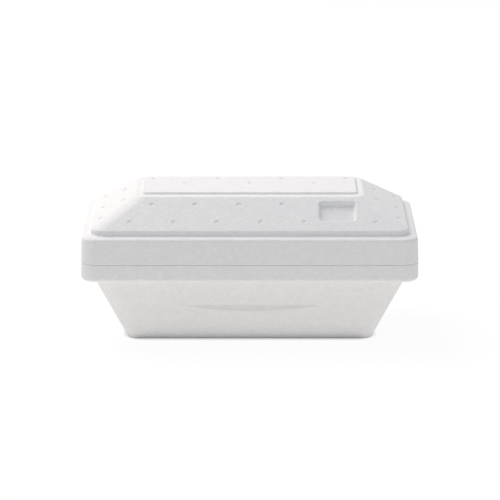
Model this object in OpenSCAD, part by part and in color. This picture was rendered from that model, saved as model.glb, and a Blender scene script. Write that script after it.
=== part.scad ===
// Takeaway ice cream tub in moulded foam: a tapered tub and a hipped lift-off lid.
// X runs along the length, Y across the width and Z up. The origin is the middle of the base.
// Each piece is one closed loft: a wall profile carried round a rounded rectangle.

/* [Rim] */
// Length over the rim, which is also the length of the lid
rim_l = 205; // [170:1:240]
// Width over the rim, which is also the width of the lid
rim_w = 115; // [95:1:140]
// Plan radius of the rim's corners
rim_corner_r = 10; // [8:0.5:14]
// Height of the rim's outer face
rim_h = 11.1; // [7:0.1:16]
// Reach of the rim beyond the body wall
rim_overhang = 7; // [5:0.5:10]
// Rounding of the rim's lower outer edge
rim_edge_r = 2.5; // [1:0.1:4]

/* [Body] */
// Height from the base to the underside of the rim
body_h = 42.2; // [34:0.5:60]
// Lean of the body walls from the vertical, in degrees
wall_angle = 26; // [15:0.5:29]
// Thickness of the body walls
wall_t = 8.6; // [7:0.1:10]
// Thickness of the floor
floor_t = 9; // [7:0.1:12]
// Plan radius of the body's corners under the rim
body_corner_r = 12; // [9:0.5:18]
// Plan radius of the body's corners at the base
base_corner_r = 5; // [4:0.5:12]
// Rounding of the edge round the base
base_edge_r = 1.5; // [1:0.1:4]
// Plan radius of the cavity's corners
cavity_corner_r = 7; // [5:0.5:10]
// Rounding between the cavity's walls and its floor
cavity_floor_r = 6; // [3:0.5:8]

/* [Lip joint] */
// Height of the lip that stands round the mouth
lip_h = 5; // [3:0.5:8]
// Width of the rim's shoulder, outside the lip, that carries the lid
shoulder_w = 5.8; // [4.5:0.1:6.5]
// Gap between the lip and the rebate in the lid
lip_gap = 0.3; // [0.2:0.05:0.6]
// Rounding of the lip's top edges
lip_edge_r = 1; // [0.5:0.1:1.5]
// Rounding of the two edges that meet at the parting line
parting_edge_r = 0.7; // [0.3:0.1:1.2]

/* [Finger grips] */
// Length of each grip along the wall
grip_l = 88; // [60:1:110]
// Height of the grip's straight upper edge above the base
grip_z = 24.5; // [18:0.5:28]
// Height of the grip's face at its middle, under the upper edge
grip_h = 4.2; // [3:0.1:6]
// Depth of the grip at its middle, under the upper edge
grip_depth = 2.2; // [1.2:0.1:3]
// Fall of the grip's upper face towards the inside, in degrees
grip_ceiling_fall = 8; // [2:1:20]

/* [Lid skirt] */
// Height from the parting line to the inner end of the ledge
skirt_h = 16.7; // [12:0.1:22]
// Draft of the skirt, in degrees
skirt_draft = 1.5; // [0.5:0.1:3]
// Rounding of the skirt's upper edge
skirt_edge_r = 2; // [1:0.1:3]
// Width of the ledge between the skirt and the step
ledge_w = 5.5; // [4.5:0.1:8]
// Fall of the ledge towards the skirt, in degrees
ledge_fall = 14; // [2:1:18]
// Height of the step from the ledge to the foot of the roof
step_h = 3; // [2:0.1:5]
// Rounding of the edge between the step and the roof
step_edge_r = 1.2; // [0.6:0.1:1.6]

/* [Roof] */
// Rise of the roof from its foot to the flat top
roof_rise = 16.5; // [12:0.5:20]
// Pitch of the two end slopes, in degrees
end_pitch = 31.8; // [27:0.1:38]
// Pitch of the two long slopes, in degrees
side_pitch = 36.7; // [33:0.1:42]
// Thickness of the lid under the slopes and the flat top
roof_t = 9; // [7:0.1:10]
// Plan radius of the hips at the foot of the roof
hip_foot_r = 8; // [4:0.5:9]
// Plan radius of the hips at the flat top
hip_top_r = 8; // [5:0.5:9]
// Rounding of the edge between the slopes and the flat top
roof_edge_r = 2; // [1:0.1:3]
// Width of the flat border at the ends of the raised panel
end_border_w = 4; // [3:0.1:6]
// Width of the flat border along the sides of the raised panel
side_border_w = 6; // [3:0.1:8]
// Height of the raised panel
panel_h = 1.5; // [0.8:0.1:2.5]
// Plan radius of the panel's corners
panel_corner_r = 3; // [2:0.1:4]
// Rounding of the panel's upper edge
panel_edge_r = 0.8; // [0.3:0.1:1]

/* [Pocket] */
// Length of the sunk pocket on the front slope
pocket_l = 23; // [15:0.5:26]
// Height of the pocket along the slope
pocket_w = 16; // [10:0.5:19]
// Depth of the pocket
pocket_depth = 3; // [1:0.1:4]
// Draft of the pocket's walls, which stands the upper one nearly upright, in degrees
pocket_draft = 30; // [10:1:40]
// Plan radius of the pocket's corners at its floor
pocket_corner_r = 1; // [0.5:0.1:3]
// Distance of the pocket's middle from the middle of the lid
pocket_x = 53.5; // [40:0.5:54]
// Distance of the pocket's middle down the slope from the flat top
pocket_down = 11.5; // [10:0.5:15]

/* [Vent marks] */
// Diameter of the round marks that the steam vents of the mould leave
vent_d = 3; // [2:0.1:4]
// Depth of the vent marks
vent_depth = 0.35; // [0.2:0.05:0.8]
// Spacing of the marks along the two long slopes
side_vent_pitch = 26.5; // [22:0.5:28]
// Distance of the upper row on the long slopes from the flat top
side_vent_upper = 6.3; // [4:0.1:8]
// Distance of the lower row on the long slopes from the flat top
side_vent_lower = 20.3; // [14:0.1:22]
// Farthest that a mark on the long slopes lies from the middle
side_vent_reach = 76.5; // [70:0.5:80]
// Spacing of the marks along the two end slopes
end_vent_pitch = 30; // [26:0.5:36]
// Distance of the upper row on the end slopes from the flat top
end_vent_upper = 9.5; // [5:0.5:14]
// Distance of the lower row on the end slopes from the flat top
end_vent_lower = 25; // [18:0.5:27]
// Spacing of the marks along the raised panel
top_vent_pitch = 40; // [30:0.5:42]
// Distance of the front row on the panel behind the middle of the lid
top_vent_front = 3.5; // [0:0.5:8]
// Distance of the back row on the panel behind the middle of the lid
top_vent_back = 17; // [12:0.5:19]

/* [Hidden] */

// Straight pieces in a quarter turn of a plan corner, and in one rounded edge
corner_n = 8;
edge_n = 4;
// Facets of the scoop that cuts the grips, and of the vent marks
scoop_fn = 96;
vent_fn = 24;
// Overlap that lets a cutter pass clear through a face
cut = 1;
foam_white = [0.96, 0.96, 0.95];

// Heights of the joint between the two pieces
parting_z = body_h + rim_h;
lip_top_z = parting_z + lip_h;
rebate_z = lip_top_z + lip_gap;

// Heights and insets of the lid, each inset measured from the rim's outline
ledge_z = parting_z + skirt_h;
roof_foot_z = ledge_z + step_h;
roof_top_z = roof_foot_z + roof_rise;
panel_z = roof_top_z + panel_h;
skirt_top_inset = skirt_h * tan(skirt_draft);
roof_foot_inset = skirt_top_inset + ledge_w;
end_run = roof_rise / tan(end_pitch);
side_run = roof_rise / tan(side_pitch);
roof_pitch = (end_pitch + side_pitch) / 2;

// Insets of the tub's outer wall and cavity wall at height z
function wall_inset(z) = rim_overhang + (body_h - z) * tan(wall_angle);
function cavity_inset(z) = wall_inset(z) + wall_t / cos(wall_angle);
mouth_inset = cavity_inset(parting_z);

// Plan radius of the body's corner at height z
function body_r(z) = base_corner_r + (body_corner_r - base_corner_r) * z / body_h;

// Points of a profile arc about centre c, as pairs of inset and height
function arc(c, r, from, to) =
    [for (i = [0:edge_n]) let (a = from + (to - from) * i / edge_n) c + r * [cos(a), sin(a)]];

// Section of the rim's outline, drawn in by an inset that may differ on the ends and the sides
function section(end_inset, side_inset, corner_r, z) =
    [rim_l - 2 * end_inset, rim_w - 2 * side_inset, corner_r, z];

// Sections along a profile whose corners keep the rim's corner centres
function concentric(profile) =
    [for (p = profile) section(p[0], p[0], rim_corner_r - p[0], p[1])];

// Sections along a profile with one plan radius
function even(profile, corner_r) = [for (p = profile) section(p[0], p[0], corner_r, p[1])];

// Sections along a profile that moves in by its own run on the ends and on the sides
function hipped(profile, end_run, side_run, corner_r) =
    [for (p = profile) section(p[0] + end_run, p[0] + side_run, corner_r, p[1])];

// Points round one section, starting at the middle of the right end
function ring(s) =
    [for (q = [0:3])
        let (sx = (q == 0 || q == 3) ? 1 : -1, sy = q < 2 ? 1 : -1)
        for (i = [0:corner_n])
            let (a = 90 * q + 90 * i / corner_n)
            [sx * (s[0] / 2 - s[2]) + s[2] * cos(a), sy * (s[1] / 2 - s[2]) + s[2] * sin(a), s[3]]];

// Closed solid through a list of sections, with a flat face at its first and last
module loft(sections) {
    n = 4 * (corner_n + 1);
    last = len(sections) - 1;
    first_face = [for (i = [0:n - 1]) i];
    last_face = [for (i = [0:n - 1]) last * n + n - 1 - i];
    sides = [for (k = [0:last - 1]) for (i = [0:n - 1])
        let (j = (i + 1) % n)
        [k * n + i, (k + 1) * n + i, (k + 1) * n + j, k * n + j]];
    polyhedron(points = [for (s = sections) each ring(s)],
               faces = concat([first_face, last_face], sides));
}

// Profile of the tub, from the base up the outside, over the lip and down to the cavity's floor
function tub_sections() =
    let (base_centre = [wall_inset(0) + base_edge_r * (1 - sin(wall_angle)) / cos(wall_angle), base_edge_r],
         floor_centre_z = floor_t + cavity_floor_r,
         floor_centre = [cavity_inset(floor_centre_z) + cavity_floor_r / cos(wall_angle), floor_centre_z])
    concat(
        [for (p = arc(base_centre, base_edge_r, 270, 180 + wall_angle))
            section(p[0], p[0], body_r(p[1]), p[1])],
        even([[rim_overhang, body_h]], body_corner_r),
        concentric(arc([rim_edge_r, body_h + rim_edge_r], rim_edge_r, 270, 180)),
        concentric(arc([parting_edge_r, parting_z - parting_edge_r], parting_edge_r, 180, 90)),
        concentric([[shoulder_w, parting_z]]),
        concentric(arc([shoulder_w + lip_edge_r, lip_top_z - lip_edge_r], lip_edge_r, 180, 90)),
        even(arc([mouth_inset - lip_edge_r, lip_top_z - lip_edge_r], lip_edge_r, 90, 0), cavity_corner_r),
        even([[mouth_inset, parting_z]], cavity_corner_r),
        even(arc(floor_centre, cavity_floor_r, 180 + wall_angle, 270), cavity_corner_r));

// Scoop under a straight edge on the front wall, deepest at its middle
module grip_cutter() {
    scoop_r = grip_l * grip_l / (8 * grip_depth);
    edge_y = wall_inset(grip_z) - rim_w / 2;
    lean = atan(tan(wall_angle) - grip_depth / grip_h);
    reach = body_h + rim_h;
    difference() {
        translate([0, edge_y + grip_depth, grip_z])
            rotate([lean, 0, 0])
                translate([0, -scoop_r, -reach])
                    cylinder(h = 2 * reach, r = scoop_r, $fn = scoop_fn);
        translate([0, edge_y, grip_z])
            rotate([-grip_ceiling_fall, 0, 0])
                translate([-scoop_r - cut, -2 * scoop_r - reach, 0])
                    cube([2 * (scoop_r + cut), 2 * scoop_r + 2 * reach, 3 * scoop_r]);
    }
}

module tub() {
    color(foam_white)
        difference() {
            loft(tub_sections());
            grip_cutter();
            mirror([0, 1, 0]) grip_cutter();
        }
}

// Profile of the lid, from its ceiling down the inside and up the outside to the raised panel
function lid_sections() =
    let (ceiling_z = roof_top_z - roof_t,
         eaves_z = roof_foot_z + (mouth_inset - roof_foot_inset) * tan(end_pitch) - roof_t / cos(end_pitch),
         ceiling_end = (ceiling_z - roof_foot_z + roof_t / cos(end_pitch)) / tan(end_pitch),
         ceiling_side = (ceiling_z - roof_foot_z + roof_t / cos(side_pitch)) / tan(side_pitch),
         skirt_edge_z = ledge_z - (ledge_w - skirt_edge_r) * tan(ledge_fall),
         step_centre = [roof_foot_inset + step_edge_r, roof_foot_z - step_edge_r * tan(45 - roof_pitch / 2)],
         edge_centre = [roof_foot_inset + roof_edge_r * tan(roof_pitch / 2), roof_top_z - roof_edge_r],
         panel_end_run = end_run + end_border_w,
         panel_side_run = side_run + side_border_w)
    concat(
        hipped([[roof_foot_inset, ceiling_z]], ceiling_end, ceiling_side, cavity_corner_r),
        even([[mouth_inset, eaves_z], [mouth_inset, rebate_z]], cavity_corner_r),
        concentric([[shoulder_w - lip_gap, rebate_z], [shoulder_w - lip_gap, parting_z]]),
        concentric(arc([parting_edge_r, parting_z + parting_edge_r], parting_edge_r, 270, 180)),
        concentric(arc([skirt_top_inset + skirt_edge_r, skirt_edge_z - skirt_edge_r], skirt_edge_r, 180, 90)),
        even([[roof_foot_inset, ledge_z]], hip_foot_r),
        even(arc(step_centre, step_edge_r, 180, 90 + roof_pitch), hip_foot_r),
        hipped(arc(edge_centre, roof_edge_r, 90 + roof_pitch, 90), end_run, side_run, hip_top_r),
        hipped([[roof_foot_inset, roof_top_z]], panel_end_run, panel_side_run, panel_corner_r),
        hipped(arc([roof_foot_inset + panel_edge_r, panel_z - panel_edge_r], panel_edge_r, 180, 90),
               panel_end_run, panel_side_run, panel_corner_r));

// Places children on the front slope, a distance down from the flat top, with Z square to the slope
module on_side_slope(x, down) {
    top_y = roof_foot_inset + side_run - rim_w / 2;
    translate([x, top_y - down * cos(side_pitch), roof_top_z - down * sin(side_pitch)])
        rotate([side_pitch, 0, 0])
            children();
}

// Places children on the right-hand slope in the same way
module on_end_slope(y, down) {
    top_x = rim_l / 2 - roof_foot_inset - end_run;
    translate([top_x + down * cos(end_pitch), y, roof_top_z - down * sin(end_pitch)])
        rotate([0, end_pitch, 0])
            children();
}

// Pocket with drafted walls and a floor that follows the front slope
module pocket_cutter() {
    spread = (pocket_depth + cut) * tan(pocket_draft);
    floor_l = pocket_l - 2 * pocket_depth * tan(pocket_draft);
    floor_w = pocket_w - 2 * pocket_depth * tan(pocket_draft);
    on_side_slope(pocket_x, pocket_down)
        loft([[floor_l, floor_w, pocket_corner_r, -pocket_depth],
              [floor_l + 2 * spread, floor_w + 2 * spread, pocket_corner_r + spread, cut]]);
}

// One vent mark, sunk below the plane z = 0
module vent() {
    translate([0, 0, -vent_depth])
        cylinder(h = vent_depth + cut, d = vent_d, $fn = vent_fn);
}

// Places of n marks in a row about its middle
function row(n, pitch) = [for (i = [0:n - 1]) (i - (n - 1) / 2) * pitch];

// True where a mark on the front slope would meet the pocket
function in_pocket(x) = abs(x - pocket_x) < pocket_l / 2 + vent_d;

// Two staggered rows on a long slope, the front one leaving out what would meet the pocket
module side_vents(front) {
    stagger = side_vent_pitch / 4;
    upper = [for (x = row(5, side_vent_pitch)) x - stagger];
    lower = [for (x = row(7, side_vent_pitch)) min(x + stagger, side_vent_reach)];
    for (x = upper)
        if (!front || !in_pocket(x)) on_side_slope(x, side_vent_upper) vent();
    for (x = lower)
        if (!front || !in_pocket(x)) on_side_slope(x, side_vent_lower) vent();
}

// Two staggered rows on the right-hand slope
module end_vents() {
    for (y = row(2, end_vent_pitch)) on_end_slope(y, end_vent_upper) vent();
    for (y = row(3, end_vent_pitch)) on_end_slope(y, end_vent_lower) vent();
}

// Two staggered rows on the raised panel
module top_vents() {
    for (x = row(3, top_vent_pitch)) translate([x, top_vent_front, panel_z]) vent();
    for (x = row(4, top_vent_pitch)) translate([x, top_vent_back, panel_z]) vent();
}

module lid() {
    color(foam_white)
        difference() {
            loft(lid_sections());
            pocket_cutter();
            side_vents(true);
            mirror([0, 1, 0]) side_vents(false);
            end_vents();
            mirror([1, 0, 0]) end_vents();
            top_vents();
        }
}

tub();
lid();
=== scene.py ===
# Takeaway ice cream tub in moulded white bead foam, on a plain pale floor.
# Lengths are in metres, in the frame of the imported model: X along the tub, Y to the back, Z up.
import math

import bmesh
import bpy
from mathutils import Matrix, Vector


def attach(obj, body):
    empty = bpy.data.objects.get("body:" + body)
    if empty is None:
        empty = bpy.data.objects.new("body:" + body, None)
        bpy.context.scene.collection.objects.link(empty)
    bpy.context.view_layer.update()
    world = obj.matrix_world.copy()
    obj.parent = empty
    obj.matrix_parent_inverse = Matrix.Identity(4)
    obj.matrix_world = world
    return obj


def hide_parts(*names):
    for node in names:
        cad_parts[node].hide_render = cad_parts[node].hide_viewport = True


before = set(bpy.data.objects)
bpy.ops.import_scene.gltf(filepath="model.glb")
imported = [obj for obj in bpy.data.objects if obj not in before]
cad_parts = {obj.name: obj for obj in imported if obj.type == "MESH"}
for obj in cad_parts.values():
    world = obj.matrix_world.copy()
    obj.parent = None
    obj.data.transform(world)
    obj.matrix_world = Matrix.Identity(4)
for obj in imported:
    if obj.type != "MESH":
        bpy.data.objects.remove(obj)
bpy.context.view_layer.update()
scene = bpy.context.scene

# Camera, as fitted to the photograph, whose side is in pixels
PHOTO_SIDE = 500
FOCAL_PIXELS = 3119.5
SENSOR_WIDTH_MM = 36
VIEW_ELEVATION = math.radians(13.5)
VIEW_DISTANCE = 1.943
VIEW_TARGET = Vector((0.0002, 0, 0.0490))
CLIP_END = 50

# Light
SKY_LEVEL = 0.474
SKY_COLOUR = (0.925, 0.985, 1.075, 1.0)
KEY_DIRECTION = Vector((-0.385, 0.33, 0.84))
KEY_DISTANCE = 1.6
KEY_SIZE = 1.4
KEY_POWER = 21.0
KEY_COLOUR = (1.0, 0.91, 0.845)

# Floor: bounce and light are what it sends to the tub, with a painted shadow of the tub in that light, and
# glow, shade and a painted contact shadow are how it is seen
FLOOR_SIZE = 14.0
FLOOR_Z = -0.0001
FLOOR_BOUNCE = (0.30, 0.292, 0.281, 1.0)
FLOOR_LIGHT = 0.71
FLOOR_LIGHT_COLOUR = (1.0, 0.962, 0.93, 1.0)
FLOOR_LIGHT_PAINTED_SHADOW_REACH = 0.0075
FLOOR_GLOW = 0.90
FLOOR_SHADE = 0.12
PAINTED_SHADOW_GLOW = 0.60
PAINTED_SHADOW_REACH = 0.004
BASE_BAND = 0.001
SHADE_CORNER = 0.012

# Softened edges of the mouldings
MERGE_DISTANCE = 1e-6
COPLANAR_ANGLE = math.radians(0.4)
SOFT_EDGE_ANGLE = math.radians(32)
SOFT_EDGE_WIDTH = 0.0003
SOFT_EDGE_SHARE = 0.45
SOFT_EDGE_SEGMENTS = 2
FLAT_FACE_WEIGHT = 100

# Finger grips
GRIP_TOP = 0.0245
GRIP_BAND = 0.0005
GRIP_REACH = 0.05
GRIP_DEEPER = 1.6

# Raised panel on the lid
PANEL_RISE = 0.0015
PANEL_BAND = 0.0001
PANEL_FOOT_REACH = 0.0015
PANEL_DRAFT = 0.0008

# Vent marks, darkened towards their middles with painted shade
VENT_AREA = 8e-6
VENT_MIN_SIDES = 16
VENT_SHADE_TONE = 0.93
VENT_RIM_SHARE = 0.4

# Bead foam, with the lid's beads taken from another place in the pattern
BEAD_SIZE = 0.0034
BEAD_PALE = 0.875
BEAD_DULL = 0.848
SEAM_TONE = 0.965
SEAM_WIDTH = 0.10
BEAD_DOME = 0.35
BEAD_RELIEF = 0.00012
RELIEF_STRENGTH = 0.6
GRAIN_SIZE = 0.0007
GRAIN_DETAIL = 2.0
GRAIN_SHARE = 0.25
ROUGHNESS_LOW = 0.62
ROUGHNESS_HIGH = 0.82
SHINE = 0.3
TUB_BEADS_PLACE = (0.0, 0.0, 0.0)
LID_BEADS_PLACE = (0.31, 0.17, 0.23)


def grey(level):
    """Neutral colour of one level, as an RGBA value."""
    return (level, level, level, 1.0)


def node_tree(owner):
    """Emptied node tree of a material or world."""
    owner.use_nodes = True
    owner.node_tree.nodes.clear()
    return owner.node_tree


def put(tree, socket, value):
    """Gives a socket a value of its own, or a link from another node's output."""
    if isinstance(value, bpy.types.NodeSocket):
        tree.links.new(value, socket)
    else:
        socket.default_value = value


def add_node(tree, kind, settings=None, **inputs):
    """New shader node with its own settings and with input values or links."""
    node = tree.nodes.new(kind)
    for key, value in (settings or {}).items():
        setattr(node, key, value)
    for key, value in inputs.items():
        put(tree, node.inputs[key.replace("_", " ")], value)
    return node


def maths(tree, operation, *values):
    """Output of a math node on values or links."""
    node = add_node(tree, "ShaderNodeMath", {"operation": operation})
    for socket, value in zip(node.inputs, values):
        put(tree, socket, value)
    return node.outputs[0]


def seen_directly(tree):
    """Factor that is 1 for camera, mirror and see-through rays, and 0 for light that falls on surfaces."""
    path = add_node(tree, "ShaderNodeLightPath")
    total = path.outputs["Is Camera Ray"]
    for ray in ("Is Glossy Ray", "Is Transmission Ray"):
        total = maths(tree, "MAXIMUM", total, path.outputs[ray])
    return total


def mix_shaders(tree, factor, first, second):
    """Shader output that goes from first to second as factor goes from 0 to 1."""
    mix = tree.nodes.new("ShaderNodeMixShader")
    tree.links.new(factor, mix.inputs[0])
    tree.links.new(first, mix.inputs[1])
    tree.links.new(second, mix.inputs[2])
    return mix.outputs[0]


def glowing_matt(tree, colour, light_colour, strength):
    """Matt surface of one colour that also gives off light of another."""
    matt = add_node(tree, "ShaderNodeBsdfDiffuse", Color=colour)
    light = add_node(tree, "ShaderNodeEmission", Color=light_colour, Strength=strength)
    both = tree.nodes.new("ShaderNodeAddShader")
    tree.links.new(matt.outputs[0], both.inputs[0])
    tree.links.new(light.outputs[0], both.inputs[1])
    return both.outputs[0]


def make_camera():
    """Camera at the photograph's view: straight on and a little above the tub."""
    data = bpy.data.cameras.new("photo_view")
    data.sensor_width = SENSOR_WIDTH_MM
    data.lens = FOCAL_PIXELS / PHOTO_SIDE * SENSOR_WIDTH_MM
    data.clip_end = CLIP_END
    camera = bpy.data.objects.new("photo_view", data)
    back = Vector((0, -math.cos(VIEW_ELEVATION), math.sin(VIEW_ELEVATION)))
    camera.location = VIEW_TARGET + VIEW_DISTANCE * back
    camera.rotation_euler = (math.pi / 2 - VIEW_ELEVATION, 0, 0)
    scene.collection.objects.link(camera)
    scene.camera = camera


def make_world():
    """Even sky for the light on the tub, and plain white where it is seen."""
    world = bpy.data.worlds.new("studio")
    scene.world = world
    tree = node_tree(world)
    sky = add_node(tree, "ShaderNodeBackground", Color=SKY_COLOUR, Strength=SKY_LEVEL)
    white = add_node(tree, "ShaderNodeBackground", Color=grey(1.0), Strength=1.0)
    surface = mix_shaders(tree, seen_directly(tree), sky.outputs[0], white.outputs[0])
    add_node(tree, "ShaderNodeOutputWorld", Surface=surface)


def make_key_light():
    """Large soft lamp, high on the left behind the tub."""
    data = bpy.data.lights.new("key", "AREA")
    data.size = KEY_SIZE
    data.energy = KEY_POWER
    data.color = KEY_COLOUR
    lamp = bpy.data.objects.new("key", data)
    direction = KEY_DIRECTION.normalized()
    lamp.location = VIEW_TARGET + KEY_DISTANCE * direction
    lamp.rotation_euler = direction.to_track_quat("Z", "Y").to_euler()
    scene.collection.objects.link(lamp)


def base_half_sizes():
    """Half the length and half the width of the tub's flat base."""
    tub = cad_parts["tub"]
    points = [tub.matrix_world @ vertex.co for vertex in tub.data.vertices]
    on_floor = [point for point in points if point.z < BASE_BAND]
    return max(point.x for point in on_floor), max(point.y for point in on_floor)


def rise_from_base(tree, reach, low, high):
    """Level that is low under the tub and rises to high over a reach from the edge of its base, which
    paints the tub's shadow on the floor.
    """
    place = add_node(tree, "ShaderNodeTexCoord")
    axes = add_node(tree, "ShaderNodeSeparateXYZ", Vector=place.outputs["Object"])
    total = 0.0
    for axis, half in zip(axes.outputs, base_half_sizes()):
        past = maths(tree, "SUBTRACT", maths(tree, "ABSOLUTE", axis), half - SHADE_CORNER)
        past = maths(tree, "MAXIMUM", past, 0.0)
        total = maths(tree, "MULTIPLY_ADD", past, past, total)
    distance = maths(tree, "SUBTRACT", maths(tree, "SQRT", total), SHADE_CORNER)
    level = add_node(tree, "ShaderNodeMapRange", {"interpolation_type": "SMOOTHSTEP"},
                     Value=distance, From_Max=reach, To_Min=low, To_Max=high)
    return level.outputs[0]


def make_floor():
    """White floor that lights the tub from below and keeps a pale shadow of it, partly real and partly
    painted near its base.
    """
    mesh = bpy.data.meshes.new("floor")
    half = FLOOR_SIZE / 2
    corners = [(-half, -half), (half, -half), (half, half), (-half, half)]
    mesh.from_pydata([(x, y, FLOOR_Z) for x, y in corners], [], [(0, 1, 2, 3)])
    floor = bpy.data.objects.new("floor", mesh)
    scene.collection.objects.link(floor)
    material = bpy.data.materials.new("floor_white")
    tree = node_tree(material)
    # painted shadow: the floor's light on the tub and the floor as seen are both dimmed near the tub's base
    light = rise_from_base(tree, FLOOR_LIGHT_PAINTED_SHADOW_REACH, 0.0, FLOOR_LIGHT)
    glow = rise_from_base(tree, PAINTED_SHADOW_REACH, PAINTED_SHADOW_GLOW, FLOOR_GLOW)
    lit = glowing_matt(tree, FLOOR_BOUNCE, FLOOR_LIGHT_COLOUR, light)
    shown = glowing_matt(tree, grey(FLOOR_SHADE), grey(1.0), glow)
    surface = mix_shaders(tree, seen_directly(tree), lit, shown)
    add_node(tree, "ShaderNodeOutputMaterial", Surface=surface)
    mesh.materials.append(material)


def foam_material(name, offset):
    """Fused white beads: each has its own shade, with darker seams between them, a fine grain and painted
    shade in the vent marks.
    """
    material = bpy.data.materials.new(name)
    tree = node_tree(material)
    place = add_node(tree, "ShaderNodeTexCoord")
    shifted = add_node(tree, "ShaderNodeMapping", Vector=place.outputs["Object"], Location=offset)
    point = shifted.outputs[0]
    beads = add_node(tree, "ShaderNodeTexVoronoi", Vector=point, Scale=1 / BEAD_SIZE)
    seams = add_node(tree, "ShaderNodeTexVoronoi", {"feature": "DISTANCE_TO_EDGE"},
                     Vector=point, Scale=1 / BEAD_SIZE)
    tint = add_node(tree, "ShaderNodeSeparateColor", Color=beads.outputs["Color"])
    shade = add_node(tree, "ShaderNodeMapRange", Value=tint.outputs[0],
                     To_Min=BEAD_DULL, To_Max=BEAD_PALE)
    seam = add_node(tree, "ShaderNodeMapRange", {"interpolation_type": "SMOOTHSTEP"},
                    Value=seams.outputs["Distance"], From_Max=SEAM_WIDTH, To_Min=SEAM_TONE, To_Max=1.0)
    level = maths(tree, "MULTIPLY", shade.outputs[0], seam.outputs[0])
    # painted shade in the vent marks, darkest at their middles
    vents = add_node(tree, "ShaderNodeAttribute", {"attribute_name": "painted_vent_shade"})
    vent_shade_level = add_node(tree, "ShaderNodeMapRange", Value=vents.outputs["Fac"],
                         To_Min=1.0, To_Max=VENT_SHADE_TONE)
    level = maths(tree, "MULTIPLY", level, vent_shade_level.outputs[0])
    colour = add_node(tree, "ShaderNodeCombineColor", Red=level, Green=level, Blue=level)
    rough = add_node(tree, "ShaderNodeMapRange", Value=tint.outputs[1],
                     To_Min=ROUGHNESS_LOW, To_Max=ROUGHNESS_HIGH)
    grain = add_node(tree, "ShaderNodeTexNoise", Vector=point, Scale=1 / GRAIN_SIZE, Detail=GRAIN_DETAIL)
    relief = add_node(tree, "ShaderNodeMapRange", {"interpolation_type": "SMOOTHSTEP"},
                      Value=seams.outputs["Distance"], From_Max=BEAD_DOME)
    height = maths(tree, "MULTIPLY_ADD", grain.outputs[0], GRAIN_SHARE, relief.outputs[0])
    bump = add_node(tree, "ShaderNodeBump", Height=height, Distance=BEAD_RELIEF, Strength=RELIEF_STRENGTH)
    foam = add_node(tree, "ShaderNodeBsdfPrincipled", Base_Color=colour.outputs[0],
                    Roughness=rough.outputs[0], Specular_IOR_Level=SHINE, Normal=bump.outputs[0])
    add_node(tree, "ShaderNodeOutputMaterial", Surface=foam.outputs[0])
    return material


def reach_from(edge, face):
    """Farthest that a face reaches from one of its edges."""
    start = edge.verts[0].co
    along = (edge.verts[1].co - start).normalized()
    return max((vertex.co - start).cross(along).length for vertex in face.verts)


def weigh_soft_edges(shape):
    """Marks each sharp edge with a share of the soft edge's width that its two faces have room for."""
    weights = shape.edges.layers.float.new("bevel_weight_edge")
    for edge in shape.edges:
        if len(edge.link_faces) == 2 and edge.calc_face_angle() > SOFT_EDGE_ANGLE:
            room = SOFT_EDGE_SHARE * min(reach_from(edge, face) for face in edge.link_faces)
            edge[weights] = min(1.0, room / SOFT_EDGE_WIDTH)


def lean_back_grips(shape):
    """Draws the upper edge of each grip's face deeper into the wall, so that it looks a little upwards."""
    edge = [vertex for vertex in shape.verts if GRIP_TOP - GRIP_BAND < vertex.co.z < GRIP_TOP + GRIP_BAND]
    grips = [vertex for vertex in edge if abs(vertex.co.x) < GRIP_REACH]
    wall_y = max(abs(vertex.co.y) for vertex in grips)
    for vertex in grips:
        depth = wall_y - abs(vertex.co.y)
        vertex.co.y = math.copysign(wall_y - GRIP_DEEPER * depth, vertex.co.y)


def lean_back_panel(shape):
    """Draws the foot of the raised panel outwards, so that its side looks a little upwards."""
    top_z = max(vertex.co.z for vertex in shape.verts)
    top = [vertex.co for vertex in shape.verts if vertex.co.z > top_z - PANEL_BAND]
    reach_x = max(abs(point.x) for point in top) + PANEL_FOOT_REACH
    reach_y = max(abs(point.y) for point in top) + PANEL_FOOT_REACH
    for vertex in shape.verts:
        at_foot = abs(vertex.co.z - top_z + PANEL_RISE) < PANEL_BAND
        if at_foot and abs(vertex.co.x) < reach_x and abs(vertex.co.y) < reach_y:
            vertex.co.x += math.copysign(PANEL_DRAFT, vertex.co.x)
            vertex.co.y += math.copysign(PANEL_DRAFT, vertex.co.y)


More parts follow.
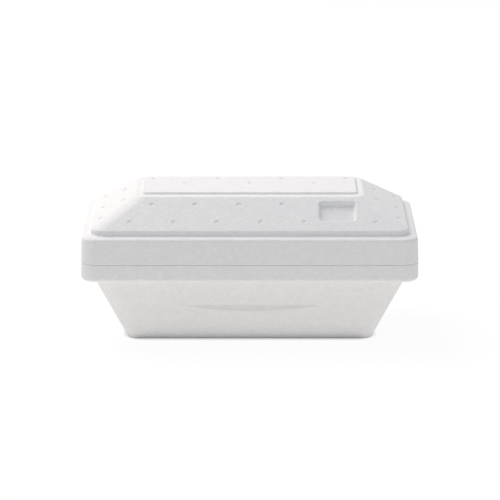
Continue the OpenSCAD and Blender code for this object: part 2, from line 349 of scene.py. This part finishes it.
def mark_vents(shape):
    """Gives the middle of each round vent mark a value of 1 that falls towards its rim, and 0 elsewhere, as
    a mask of painted shade.
    """
    painted_shade = shape.verts.layers.float.new("painted_vent_shade")
    floors = [face for face in shape.faces
              if len(face.verts) >= VENT_MIN_SIDES and face.calc_area() < VENT_AREA]
    for face in floors:
        for vertex in face.verts:
            vertex[painted_shade] = VENT_RIM_SHARE
    middles = bmesh.ops.poke(shape, faces=floors)["verts"]
    for vertex in middles:
        vertex[painted_shade] = 1.0


def dress_lid(shape):
    """Reworks the lid's raised panel and vent marks."""
    lean_back_panel(shape)
    mark_vents(shape)


def moulding(name, node, body, material, rework):
    """Foam moulding on the form of a CAD node, with merged facets, its own rework and softened edges."""
    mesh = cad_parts[node].data.copy()
    mesh.name = name
    shape = bmesh.new()
    shape.from_mesh(mesh)
    bmesh.ops.remove_doubles(shape, verts=shape.verts, dist=MERGE_DISTANCE)
    bmesh.ops.dissolve_limit(shape, angle_limit=COPLANAR_ANGLE, verts=shape.verts, edges=shape.edges)
    rework(shape)
    weigh_soft_edges(shape)
    for face in shape.faces:
        face.smooth = True
    shape.to_mesh(mesh)
    shape.free()
    mesh.materials.clear()
    mesh.materials.append(material)
    piece = bpy.data.objects.new(name, mesh)
    scene.collection.objects.link(piece)
    soften = piece.modifiers.new("soft_edges", "BEVEL")
    soften.limit_method = "WEIGHT"
    soften.width = SOFT_EDGE_WIDTH
    soften.segments = SOFT_EDGE_SEGMENTS
    soften.use_clamp_overlap = False
    normals = piece.modifiers.new("flat_faces", "WEIGHTED_NORMAL")
    normals.weight = FLAT_FACE_WEIGHT
    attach(piece, body)
    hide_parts(node)


make_camera()
make_world()
make_key_light()
make_floor()
tub_beads = foam_material("tub_beads", TUB_BEADS_PLACE)
lid_beads = foam_material("lid_beads", LID_BEADS_PLACE)
moulding("foam_tub", "tub", "tub", tub_beads, lean_back_grips)
moulding("foam_lid", "lid", "lid", lid_beads, dress_lid)

scene.view_settings.view_transform = "Standard"
